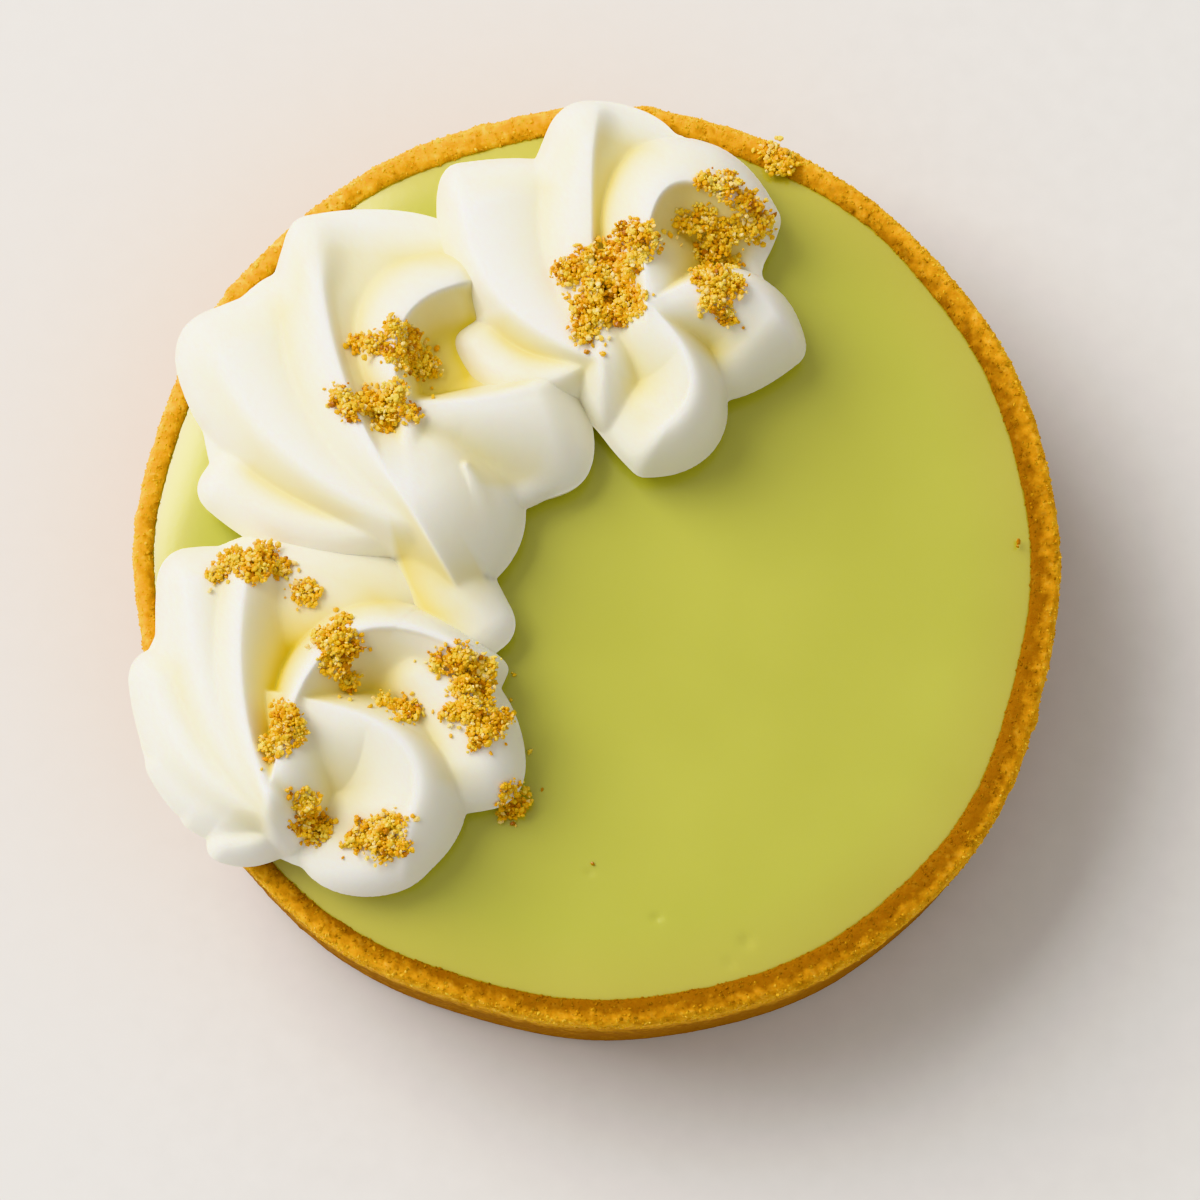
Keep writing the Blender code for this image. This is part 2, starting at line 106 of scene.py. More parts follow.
# The profile lies this far inside the case's true outline, to leave room for the relief
CASE_INSET = 0.37

# Sand baked into the rim: how many grains, their radii, how far they sink in as a share of the
# radius, how far they reach under the rim's rounding, how they gather outwards (1 is evenly), and
# how much their bake differs
RIM_GRAINS = 9000
LARGEST_SAND = 0.26
SMALLEST_SAND = 0.1
SAND_SINK = 0.3
SAND_DEPTH = 3.0
SAND_GATHERING = 0.7
SAND_BAKE_SPREAD = 0.12

# How dark the pastry is, from 0 to 1: painted shade on the side away from the window light (its bearing and
# strength), the inner edge of the rim, which baked darker (at least, plus more painted shade on that side,
# growing over a rise from a height), and the outer wall, which darkens below a height over a depth
SHADE_PAINTED_SIDE = -50.0
PAINTED_SIDE_SHADE = 0.32
INNER_BAKE = 0.3
INNER_PAINTED_SHADE = 0.66
INNER_BAKE_FROM = 14.0
INNER_BAKE_RISE = 8.0
WALL_BAKE = 0.6
BAKED_BELOW = 22.0
BAKED_DEPTH = 8.0

# Lime curd: it runs a little way into the pastry, so that no gap shows, and its top sinks towards its
# edge. The waves and pits are in its top skin alone, which ends this far below the edge.
CURD_OVERLAP = 0.35
CURD_TOP = 23.9
CURD_EDGE_WIDTH = 8.0
CURD_EDGE_DROP = 0.75
CURD_EDGE_STEPS = 15
CURD_FIRST_RING = 0.4
CURD_RINGS = 140
CURD_COLUMNS = 560
CURD_SKIN = 0.5
CURD_WAVE = 0.035
CURD_WAVE_SIZE = 16.0

# Pits in the curd: middle X and Y, radius, depth
CURD_PITS = (
    (6.4, -40.2, 0.5, 0.22),
    (16.3, -42.8, 0.6, 0.3),
    (14.4, -45.1, 0.45, 0.2),
    (-1.0, -35.2, 0.4, 0.16),
)

# Cream: it stands on the curd and bulges out to its widest, the waist, a little way up
CREAM_FLOOR = CURD_TOP + 0.4
CREAM_WAIST = CURD_TOP + 3.4
WAIST_TUCK = 2.2

# Petals: the length of the blend between them and how far it sinks, the steps along a crest and
# where they end, how far in they may begin, and the cap round each step, as a share of the petal's
# width, with the power of its corners
CREST_BLEND = 0.3
BLEND_SINK = 0.3
CREST_STEPS = 80
CREST_END = 0.97
FOOT_LIMIT = 0.45
PETAL_CAP = 0.4
PETAL_CORNER = 2.5

# Flanks of a petal: the power of the left crescent, how much both narrow, how soon the right one's
# hollow begins at the foot and ends at the tip, how far it turns round the cap, the powers of a
# round and a hollow flank, and how steeply the height falls outside the petal
CRESCENT_POWER = 1.7
TIP_THINNING = 0.5
RIGHT_TAPER = 0.45
SOFT_FOOT = 0.08
SOFT_TIP = 0.2
FACET_TURN = 0.06
ROUND_FLANK = 0.7
HOLLOW_FLANK = 1.2
FALL_OUTSIDE = 12.0

# Skin of a rosette: the distances from the heart between which its outline is looked for, the grid
# over it and under its waist, and the power that rounds its edge
NEAREST_OUTLINE = 6.0
FURTHEST_OUTLINE = 34.0
OUTLINE_STEPS = 281
CREAM_BEARINGS = 520
CREAM_RINGS = 160
TUCK_RINGS = 10
EDGE_ROUNDING = 20

# The painted shade of the folds fades to this share of its strength over this distance from the outline
FOLD_SHADE_MARGIN = 6.0
EDGE_FOLD_SHADE = 0.3

# Petals of a rosette, each a crest that climbs from its foot at the rim of the rosette to its tip.
# Foot bearing and reach, tip bearing and reach (all from the heart), sideways bow of the crest,
# width of the left flank at the foot and at its widest, width of the right flank (left and right
# seen from outside), crest height over the curd at foot and tip, and hollowness of the right
# flank: 1 is round, above it the flank is hollow and the crest sharp.
ROSETTES = {
    "cream_top": {
        "heart": (5.1, 25.6),
        "petals": (
            (101, 27.0, -136, 6.5, -1.0, 4.0, 9.5, 12.0, 10.0, 11.5, 1.6),
            (27, 18.0, 61, 0.5, -11.0, 0.3, 8.5, 13.0, 9.0, 14.0, 1.6),
            (-20, 17.0, 26, 1.0, -6.0, 3.0, 3.5, 12.0, 9.0, 13.5, 1.0),
            (-104, 15.0, -14, 1.0, -6.5, 1.5, 4.5, 13.0, 8.5, 13.5, 1.3),
            (134, 27.8, -133, 7.0, -6.0, 3.5, 3.5, 16.5, 8.5, 11.0, 1.0),
            (177, 20.5, -137, 6.5, -5.0, 2.5, 3.5, 6.5, 6.5, 9.5, 1.0),
        ),
        "mounds": ((-0.5, 2.0, 14.5, 14.0, 5.5),),
    },
    "cream_middle": {
        "heart": (-23.2, 9.1),
        "petals": (
            (105, 31.0, -66, 5.5, -3.0, 0.5, 9.0, 22.5, 10.0, 13.5, 1.6),
            (58, 24.5, 72, 5.5, -6.0, 3.5, 9.0, 5.5, 8.5, 12.5, 1.5),
            (135, 27.5, -72, 7.0, -5.0, 7.0, 4.5, 16.5, 8.5, 12.0, 1.0),
            (178, 20.5, -77, 7.5, -2.5, 3.5, 4.5, 5.5, 6.0, 9.0, 1.0),
            (27, 23.5, 56, 7.5, 1.5, 2.5, 3.5, 12.0, 8.5, 11.5, 1.1),
            (76, 9.0, -60, 6.5, -0.5, 2.0, 3.0, 4.5, 11.0, 12.5, 1.0),
            (-44, 14.0, -4, 8.5, -0.5, 3.0, 3.5, 1.5, 6.5, 10.5, 1.0),
            (-58, 23.5, -64, 6.5, 0.5, 3.5, 5.0, 6.5, 4.5, 8.0, 1.0),
        ),
        "mounds": (
            (0.5, 4.0, 15.0, 15.0, 5.5),
            (-10.0, 7.5, 11.0, 16.0, 5.5),
            (12.0, 3.5, 9.0, 8.0, 7.0),
            (8.0, 1.5, 8.0, 7.5, 8.0),
        ),
    },
    "cream_bottom": {
        "heart": (-28.8, -19.7),
        "petals": (
            (155, 22.0, -125, 12.5, -3.0, 3.5, 5.0, 7.5, 8.0, 11.0, 1.0),
            (128, 26.0, -125, 12.0, -2.5, 4.0, 6.0, 8.5, 9.0, 12.0, 1.0),
            (112, 22.5, -126, 11.0, -2.5, 4.5, 6.5, 7.0, 9.5, 13.0, 1.35),
            (-177, 19.5, -125, 12.5, -1.5, 3.0, 4.5, 5.0, 6.5, 9.5, 1.0),
            (-155, 18.5, -122, 12.5, -0.5, 2.5, 3.5, 4.0, 5.5, 8.5, 1.0),
            (12, 20.5, -133, 9.0, -11.5, 1.5, 4.5, 13.0, 9.0, 13.0, 1.5),
            (-32, 17.5, 31, 11.0, -3.0, 5.0, 5.5, 11.0, 7.5, 9.0, 1.0),
            (-79, 18.0, 145, 3.5, -9.0, 1.5, 4.0, 18.5, 8.5, 12.0, 1.35),
            (-140, 18.5, -115, 11.0, -1.5, 2.0, 3.0, 5.5, 5.5, 8.0, 1.0),
        ),
        "mounds": (
            (1.0, -1.5, 15.0, 14.5, 6.0),
            (-13.0, 2.5, 9.0, 13.0, 5.5),
            (-4.0, 15.0, 13.5, 7.5, 7.5),
            (3.5, -13.5, 7.5, 5.0, 7.0),
        ),
    },
}

# Heaps of crumbs on each piece: middle X and Y, length, width, turn of the length, lumps in the heap
CRUMB_HEAPS = {
    "cream_top": (
        (4.2, 33.3, 4.5, 4.0, 0, 3),
        (1.2, 30.3, 6.5, 6.0, 40, 7),
        (-0.8, 24.8, 5.5, 3.5, 95, 4),
        (2.7, 26.3, 4.5, 3.5, 0, 3),
        (-3.8, 29.3, 3.0, 2.5, 60, 1),
        (12.7, 35.3, 8.0, 5.5, -25, 6),
        (13.2, 39.8, 4.0, 3.0, 20, 2),
        (17.2, 37.3, 4.5, 3.5, -30, 3),
        (13.2, 27.8, 6.5, 5.0, 100, 5),
    ),
    "cream_middle": (
        (-20.8, 21.3, 6.5, 4.5, -60, 5),
        (-25.3, 21.8, 4.0, 1.8, 0, 2),
        (-23.8, 14.8, 8.0, 4.5, 5, 6),
        (-28.8, 15.8, 2.2, 1.5, 0, 1),
    ),
    "cream_bottom": (
        (-38.3, -2.2, 8.5, 3.8, 15, 6),
        (-32.8, -5.2, 2.5, 2.0, 0, 1),
        (-28.3, -12.2, 7.5, 4.5, 105, 6),
        (-33.8, -21.2, 7.0, 3.0, 75, 4),
        (-21.8, -18.2, 5.0, 2.0, -15, 2),
        (-14.3, -14.2, 7.5, 5.5, -25, 6),
        (-12.8, -19.7, 7.5, 4.5, -20, 5),
        (-31.3, -30.2, 5.0, 3.0, -50, 3),
        (-23.8, -32.2, 6.5, 4.5, 0, 6),
    ),
    "curd": ((-9.3, -27.9, 3.0, 2.2, 70, 2),),
    "crust": ((20.5, 46.2, 4.2, 1.8, -23, 3),),
}

# Single dark crumbs on the curd: X, Y and radius, and their tone
LONE_CRUMBS = (
    (47.0, 2.0, 0.33),
    (46.9, 1.4, 0.22),
    (-0.6, -34.2, 0.26),
    (16.0, 40.6, 0.24),
    (-6.2, -26.0, 0.2),
)
LONE_TONE = 0.08

# Lumps of a heap, laid out on a spiral: where it starts, their radii, and the largest radius as a
# share of the heap's width
GOLDEN_ANGLE = math.pi * (3.0 - math.sqrt(5.0))
SPIRAL_START = 0.35
LARGEST_LUMP = 1.45
SMALLEST_LUMP = 0.85
WIDEST_LUMP = 0.6

# Grains of a lump: how many the largest lump has, the square of its empty core's share of the radius,
# its stretch along X, Y and Z, how far the grains scatter, and how high they pile over what is below
GRAINS_IN_LUMP = 190
LUMP_CORE = 0.3
LUMP_STRETCH = (1.25, 1.25, 0.8)
LUMP_SCATTER = 0.3
LUMP_LIFT = 0.1
HIGHEST_GRAIN = 2.4

# Stray grains round a heap: how many, and how far out as a share of the heap's half length
STRAYS_IN_HEAP = 7
STRAY_REACH = (1.0, 1.6)

# Grains: their radii, how high their middles lie over what carries them, as a share of the radius,
# and the ranges of their stretch and of the reach of their points
LARGEST_GRAIN = 0.38
SMALLEST_GRAIN = 0.17
GRAIN_SEAT = 0.5
FALLEN_SEAT = 0.6
LONE_SEAT = 0.4
GRAIN_STRETCH = (0.6, 1.45)
GRAIN_JITTER = (0.62, 1.12)

# Tone of the grains: the size of its patches, its spread, and the share of grains that are amber
TONE_PATCH = 0.9
TONE_SPREAD = 0.13
AMBER_SHARE = 0.86

# Height map of the cream and curd: its corner, size and step
MAP_LOW = (-56.0, -46.0)
MAP_SIZE = (84.0, 102.0)
MAP_STEP = 0.25

# Share of the sky that each place sees, which sets the shade painted into the cream's folds: the number of
# sides and the distances looked at
SKY_SIDES = 16
SKY_REACHES = (0.5, 1.0, 1.75, 2.75, 4.0, 6.0, 8.5)

# Studio, in metres: half the width of the floor, and the window light, a square that faces the
# tart. The room lights it all round.
FLOOR_HALF = 2.0
WINDOW_PLACE = (-1.22, 0.79, 1.36)
WINDOW_SIZE = 1.5
WINDOW_POWER = 39.0
ROOM_COLOUR = (1.0, 0.97, 0.915)
ROOM_STRENGTH = 0.52

# Camera: looking down at the tart from a little in front of it
CAMERA_TILT = 10.0
CAMERA_DISTANCE = 450.0
CAMERA_TARGET = (0.2, -4.7, 24.0)
CAMERA_LENS = 121.0


def unit(bearing):
    """Unit vector on a bearing in degrees, anticlockwise from +X."""
    return np.array((math.cos(math.radians(bearing)), math.sin(math.radians(bearing))))


def arc(middle_x, middle_z, radius_x, radius_z, start, end, steps):
    """Points on part of an ellipse in the XZ plane: middle + (radius_x cos a, radius_z sin a)."""
    a = np.radians(np.linspace(start, end, steps + 1))
    return np.stack((middle_x + radius_x * np.cos(a), middle_z + radius_z * np.sin(a)), axis=1)


def line(start, end, steps):
    """Points at equal steps on a straight line in the XZ plane, without its last point."""
    share = np.linspace(0, 1, steps, endpoint=False)[:, None]
    return np.array(start) + share * (np.array(end) - np.array(start))


def value_noise(points, size, seed):
    """Smooth noise from -1 to 1: random values at the corners of cubes of one size, blended inside
    each cube by the smoothstep 3t^2 - 2t^3 of the place in it."""
    corners = np.random.default_rng(seed).uniform(-1, 1, (NOISE_CUBES,) * 3)
    place = points / size
    cell = np.floor(place).astype(int)
    t = place - cell
    t = t * t * (3 - 2 * t)
    total = np.zeros(points.shape[:-1])
    for dx in (0, 1):
        for dy in (0, 1):
            for dz in (0, 1):
                share = np.abs(1 - dx - t[..., 0]) * np.abs(1 - dy - t[..., 1]) * np.abs(1 - dz - t[..., 2])
                index = (cell + (dx, dy, dz)) % NOISE_CUBES
                total += share * corners[index[..., 0], index[..., 1], index[..., 2]]
    return total


def grain_noise(points, size, seed):
    """Rounded grains: one kernel at a random place in each cube of one size. Returns the height
    1 - (d / size)^2 over the nearest kernel at distance d, and that kernel's random number."""
    draw = np.random.default_rng(seed)
    kernels = draw.uniform(0, 1, (KERNEL_CUBES,) * 3 + (3,))
    numbers = draw.uniform(0, 1, (KERNEL_CUBES,) * 3)
    place = points / size
    cell = np.floor(place).astype(int)
    nearest = np.full(points.shape[:-1], 9.0)
    number = np.zeros(points.shape[:-1])
    for dx in (-1, 0, 1):
        for dy in (-1, 0, 1):
            for dz in (-1, 0, 1):
                near = cell + (dx, dy, dz)
                index = tuple(np.moveaxis(near % KERNEL_CUBES, -1, 0))
                away = ((near + kernels[index] - place) ** 2).sum(axis=-1)
                closer = away < nearest
                nearest = np.where(closer, away, nearest)
                number = np.where(closer, numbers[index], number)
    return 1 - np.minimum(nearest, 1), number


def grid_normals(rings):
    """Outward unit normals of a grid of rings that runs outwards and down from a top pole."""
    along = np.roll(rings, -1, axis=1) - np.roll(rings, 1, axis=1)
    down = np.gradient(rings, axis=0)
    normals = np.cross(down, along)
    return normals / np.maximum(np.linalg.norm(normals, axis=-1, keepdims=True), 1e-9)


def closed_skin(name, first_pole, rings, last_pole):
    """Mesh of a closed skin: rings of points joined by quads, with a fan to a pole at each end."""
    levels, count = rings.shape[:2]
    points = np.vstack([np.reshape(first_pole, (1, 3)), rings.reshape(-1, 3), np.reshape(last_pole, (1, 3))])
    columns = np.arange(count)
    following = (columns + 1) % count
    upper = 1 + np.arange(levels - 1)[:, None] * count
    lower = upper + count
    quads = np.stack((upper + columns, lower + columns, lower + following, upper + following), axis=-1)
    final = 1 + (levels - 1) * count
    first_fan = np.stack((np.zeros(count, int), 1 + columns, 1 + following), axis=-1)
    last_fan = np.stack((final + columns, np.full(count, len(points) - 1), final + following), axis=-1)
    mesh = bpy.data.meshes.new(name)
    faces = first_fan.tolist() + quads.reshape(-1, 4).tolist() + last_fan.tolist()
    mesh.from_pydata((points * MM).tolist(), [], faces)
    mesh.shade_smooth()
    return mesh


def set_attribute(mesh, name, values):
    """Store one number for each point of a mesh."""
    mesh.attributes.new(name, "FLOAT", "POINT").data.foreach_set("value", values.astype(np.float32).ravel())


def add_piece(name, mesh, material, nodes):
    """Put a mesh into the scene as a piece that rides on the root and stands for frame nodes."""
    mesh.name = name
    mesh.materials.append(material)
    piece = bpy.data.objects.new(name, mesh)
    bpy.context.scene.collection.objects.link(piece)
    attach(piece, "root")
    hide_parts(*nodes)
    return piece


def petal_height(x, y, heart, petal):
    """Height of one petal over the cream's waist at every place (x, y).

    The crest is the parabola foot + t run + 4 bow t (1 - t) sideways. Round each of its points
    stands a bell of the superelliptic distance d, top (1 - d^(2 - 2f))^(round + hollow f), where f
    grows from 0 to the hollowness across the right flank; the petal is the envelope of the bells.
    The left flank is a crescent sin(pi t^1.7) that thins as 1 - 0.5 t^4, and the right flank tapers
    as 1 - 0.45 t^1.5.
    """
    foot_bearing, foot_reach, tip_bearing, tip_reach, bow = petal[:5]
    left_at_foot, left, right, foot_top, tip_top, hollow = petal[5:]
    foot = np.array(heart) + foot_reach * unit(foot_bearing)
    run = np.array(heart) + tip_reach * unit(tip_bearing) - foot
    length = math.hypot(run[0], run[1])
    sideways = np.array((-run[1], run[0])) / length
    cap = PETAL_CAP * (left + right)
    t = np.linspace(min(FOOT_LIMIT, cap / math.hypot(length, 2 * bow)), CREST_END, CREST_STEPS)
    crest = foot + np.outer(t, run) + np.outer(4 * bow * t * (1 - t), sideways)
    inward = run + np.outer(4 * bow * (1 - 2 * t), sideways)
    inward /= np.linalg.norm(inward, axis=1)[:, None]
    right_width = right * (1 - RIGHT_TAPER * t**1.5)
    crescent = np.sin(math.pi * t**CRESCENT_POWER)
    left_width = (left_at_foot + (left - left_at_foot) * crescent) * (1 - TIP_THINNING * t**4)
    hollowness = (hollow - 1) * np.clip(t / SOFT_FOOT, 0, 1) * np.clip((1 - t) / SOFT_TIP, 0, 1)
    top = foot_top + (tip_top - foot_top) * np.sin(math.pi / 2 * t) - (CREAM_WAIST - CURD_TOP)
    highest = np.full(x.shape, -99.0)
    for step in range(CREST_STEPS):
        away_x = x - crest[step, 0]
        away_y = y - crest[step, 1]
        across = away_y * inward[step, 0] - away_x * inward[step, 1]
        along = away_x * inward[step, 0] + away_y * inward[step, 1]
        across = across / np.where(across > 0, right_width[step], left_width[step])
        corner = np.abs(across) ** PETAL_CORNER + np.abs(along / cap) ** PETAL_CORNER
        distance2 = corner ** (2 / PETAL_CORNER)
        beside = across**2 / (across**2 + FACET_TURN * (along / cap) ** 2 + 1e-9)
        facet = np.where(across > 0, beside, 0.0) * hollowness[step]
        bell = np.maximum(1 - distance2 ** (1 - facet), 0) ** (ROUND_FLANK + HOLLOW_FLANK * facet)
        outside = FALL_OUTSIDE * (1 - np.sqrt(distance2))
        highest = np.maximum(highest, np.where(distance2 < 1, top[step] * bell, outside))
    return highest


def mound_height(x, y, heart, mound):
    """Height over the waist of the low mound under the petals: a half ellipsoid, top sqrt(1 - d^2)."""
    middle_x, middle_y, half_width, half_depth, top = mound
    distance = np.hypot((x - heart[0] - middle_x) / half_width, (y - heart[1] - middle_y) / half_depth)
    dome = (top - (CREAM_WAIST - CURD_TOP)) * np.sqrt(np.maximum(1 - distance**2, 0))
    return np.where(distance < 1, dome, FALL_OUTSIDE * (1 - distance))


def cream_height(x, y, rosette):
    """Height of a rosette over its waist: the soft maximum b (log(sum(exp(h / b))) - sink) of its
    petals and mounds h, with b the crest blend."""
    layers = [petal_height(x, y, rosette["heart"], petal) for petal in rosette["petals"]]
    layers += [mound_height(x, y, rosette["heart"], mound) for mound in rosette["mounds"]]
    layers = np.stack(layers)
    highest = layers.max(axis=0)
    total = np.exp((layers - highest) / CREST_BLEND).sum(axis=0)
    return highest + CREST_BLEND * (np.log(total) - BLEND_SINK)


def outline(rosette, bearings):
    """Reach of a rosette's waist on each bearing: the furthest place where it is above the waist."""
    reaches = np.linspace(NEAREST_OUTLINE, FURTHEST_OUTLINE, OUTLINE_STEPS)
    x = rosette["heart"][0] + np.outer(np.cos(bearings), reaches)
    y = rosette["heart"][1] + np.outer(np.sin(bearings), reaches)
    height = cream_height(x, y, rosette)
    last = height.shape[1] - 1 - np.argmax(height[:, ::-1] > 0, axis=1)
    rows = np.arange(len(bearings))
    after = np.minimum(last + 1, height.shape[1] - 1)
    fraction = height[rows, last] / np.maximum(height[rows, last] - height[rows, after], 1e-6)
    return reaches[last] + (reaches[1] - reaches[0]) * np.clip(fraction, 0, 1)


def height_map():
    """Height of the tart's top on a square grid: the curd, and the highest of the rosettes over it."""
    x = np.arange(MAP_LOW[0], MAP_LOW[0] + MAP_SIZE[0], MAP_STEP)
    y = np.arange(MAP_LOW[1], MAP_LOW[1] + MAP_SIZE[1], MAP_STEP)
    x, y = np.meshgrid(x, y, indexing="ij")
    top = np.full(x.shape, CURD_TOP)
    for rosette in ROSETTES.values():
        near = np.hypot(x - rosette["heart"][0], y - rosette["heart"][1]) < FURTHEST_OUTLINE
        height = cream_height(x[near], y[near], rosette)
        top[near] = np.maximum(top[near], np.where(height > 0, CREAM_WAIST + height, CURD_TOP))
    return top


def sky_share(top):
    """Share of the sky that each place of the height map sees: the mean over all sides of
    1 - sin(horizon), where the horizon is the steepest rise to any place in reach."""
    seen = np.zeros(top.shape)
    for side in range(SKY_SIDES):
        direction = unit(360.0 * side / SKY_SIDES)
        steepest = np.zeros(top.shape)
        for reach in SKY_REACHES:
            shift = np.round(reach * direction / MAP_STEP).astype(int)
            distance = max(float(np.hypot(*shift)) * MAP_STEP, 1e-6)
            rise = (np.roll(top, tuple(-shift), axis=(0, 1)) - top) / distance
            steepest = np.maximum(steepest, rise)
        seen += 1 - steepest / np.sqrt(1 + steepest**2)
    return seen / SKY_SIDES


def read_map(values, x, y):
    """Value of a map at places (x, y), blended between its four nearest points."""
    u = np.clip((x - MAP_LOW[0]) / MAP_STEP, 0, values.shape[0] - 1.001)
    v = np.clip((y - MAP_LOW[1]) / MAP_STEP, 0, values.shape[1] - 1.001)
    i = u.astype(int)
    j = v.astype(int)
    u = u - i
    v = v - j
    left = values[i, j] * (1 - v) + values[i, j + 1] * v
    right = values[i + 1, j] * (1 - v) + values[i + 1, j + 1] * v
    return left * (1 - u) + right * u


def piped_rosette(name, rosette, sky):
    """Rosette of piped cream: rings at the shares sin(pi/2 s) of its outline, each point lifted to
    the cream's height there, then rings that tuck in under the waist on a quarter ellipse."""
    heart_x, heart_y = rosette["heart"]
    bearings = np.linspace(-math.pi, math.pi, CREAM_BEARINGS, endpoint=False)
    reach = outline(rosette, bearings)
    share = np.sin(math.pi / 2 * np.arange(1, CREAM_RINGS + 1) / CREAM_RINGS)[:, None]
    x = heart_x + share * reach * np.cos(bearings)
    y = heart_y + share * reach * np.sin(bearings)
    rounding = np.sqrt(np.maximum(0, 1 - share**EDGE_ROUNDING))
    z = CREAM_WAIST + np.maximum(cream_height(x, y, rosette), 0) * rounding
    upper = np.stack((x, y, z), axis=-1)
    angle = np.radians(90.0 * np.arange(1, TUCK_RINGS + 1) / TUCK_RINGS)[:, None]
    tucked = reach - WAIST_TUCK * (1 - np.cos(angle))
    z = np.broadcast_to(CREAM_WAIST - (CREAM_WAIST - CREAM_FLOOR) * np.sin(angle), tucked.shape)
    lower = np.stack((heart_x + tucked * np.cos(bearings), heart_y + tucked * np.sin(bearings), z), axis=-1)
    middle = np.array([[heart_x, heart_y]])
    peak = CREAM_WAIST + float(cream_height(middle[:, 0], middle[:, 1], rosette)[0])
    rings = np.concatenate((upper, lower))
    mesh = closed_skin(name, (heart_x, heart_y, peak), rings, (heart_x, heart_y, CREAM_FLOOR))
    # Painted shade: the less sky a place sees, the darker and yellower the cream is painted there; it fades
    # near the outline and under the waist
    hollow = 1 - read_map(sky, rings[..., 0], rings[..., 1])
    hollow[:CREAM_RINGS] *= np.clip((1 - share) * reach / FOLD_SHADE_MARGIN, EDGE_FOLD_SHADE, 1)
    hollow[CREAM_RINGS:] *= EDGE_FOLD_SHADE
    heart_fold_shade = 1 - read_map(sky, middle[:, 0], middle[:, 1])
    set_attribute(mesh, "hollow", np.concatenate((heart_fold_shade, hollow.ravel(), (EDGE_FOLD_SHADE,))))
    return mesh


def bulge(bearing, bulges):
    """Reach outwards on a bearing: the sum of bells reach exp(-(away / half-width)^2)."""
    total = np.zeros(bearing.shape)
    for middle, half_width, reach in bulges:
        away = np.degrees(np.angle(np.exp(1j * (bearing - math.radians(middle)))))
        total += reach * np.exp(-((away / half_width) ** 2))
    return total


def shape_by_hand(points, share):
    """Make round rings as uneven as hand-pressed pastry: the circle becomes the case's oval, the
    radius swells in slow waves sin(5b) + 0.6 sin(12b) and in a few bulges, the rim dips as sin(7b)
    with a power of the radius, and the points shift with the opening towards -X by their share."""
    x, y, z = np.moveaxis(points, -1, 0)
    radius = np.hypot(x, y)
    bearing = np.arctan2(y, x)
    wave = np.sin(5 * bearing + 0.6) + 0.6 * np.sin(12 * bearing + 2.0)
    reach = WALL_WAVE * wave + bulge(bearing, WALL_BULGES) + share * bulge(bearing, OPENING_BULGES)
    swell = 1 + reach / CASE_HALF_WIDTH
    near_top = np.maximum(0, (z - (CASE_HEIGHT - RIM_DIP_DEPTH)) / RIM_DIP_DEPTH)
    dip = RIM_DIP * (0.5 + 0.5 * np.sin(7 * bearing + 1.0)) * near_top
    dip = dip * (radius / CASE_HALF_WIDTH) ** RIM_DIP_POWER
    new_x = x * swell - OPENING_SHIFT * share * np.minimum(1, radius / SHIFT_RADIUS)
    return np.stack((new_x, y * swell * CASE_HALF_DEPTH / CASE_HALF_WIDTH, z - dip), axis=-1)


def turn(profile, columns):
    """Turn a profile of (radius, z) points once round the Z axis into rings."""
    bearings = np.linspace(-math.pi, math.pi, columns, endpoint=False)
    x = np.outer(profile[:, 0], np.cos(bearings))
    y = np.outer(profile[:, 0], np.sin(bearings))
    z = np.broadcast_to(profile[:, 1:], x.shape)
    return np.stack((x, y, z), axis=-1)


